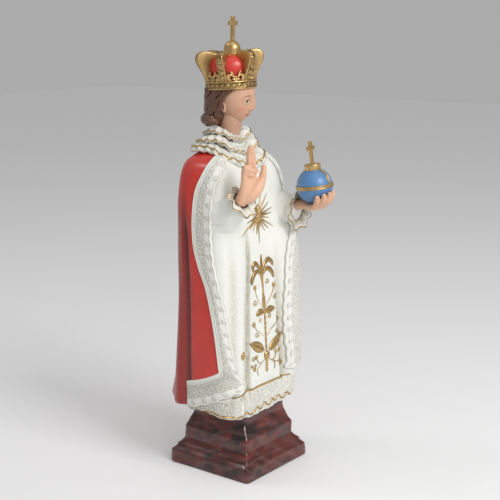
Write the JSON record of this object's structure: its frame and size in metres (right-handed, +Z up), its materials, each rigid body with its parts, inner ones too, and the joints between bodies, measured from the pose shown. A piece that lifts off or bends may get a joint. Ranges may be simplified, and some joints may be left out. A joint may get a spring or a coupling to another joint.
{
  "type": "infant of prague statue",
  "caption": "Painted cast figure of the crowned child in robe, lace collar and long cape, one hand raised in blessing, an orb in the other, on a stepped square plinth.",
  "frame": {"origin": "middle of the plinth's underside", "axes": "+Z up, the figure faces -Y, +X is its left, the side of the orb"},
  "size_m": [0.1755, 0.2021, 0.6001],
  "materials": {
    "marbled_paint": "glossy dark red faux marble paint with pale veins",
    "painted_plaster": "satin ivory paint with an antique wash in the recesses",
    "gilding": "antiqued gold paint",
    "blue_paint": "satin blue paint",
    "red_paint": "satin red paint, the outside of the cape and the crown's cap",
    "skin_paint": "satin flesh paint",
    "hair_paint": "satin dark brown paint"
  },
  "bodies": {
    "root": {"plinth": "marbled_paint", "figure": "painted_plaster", "crown": "gilding", "orb": "blue_paint"}
  },
  "joints": []
}
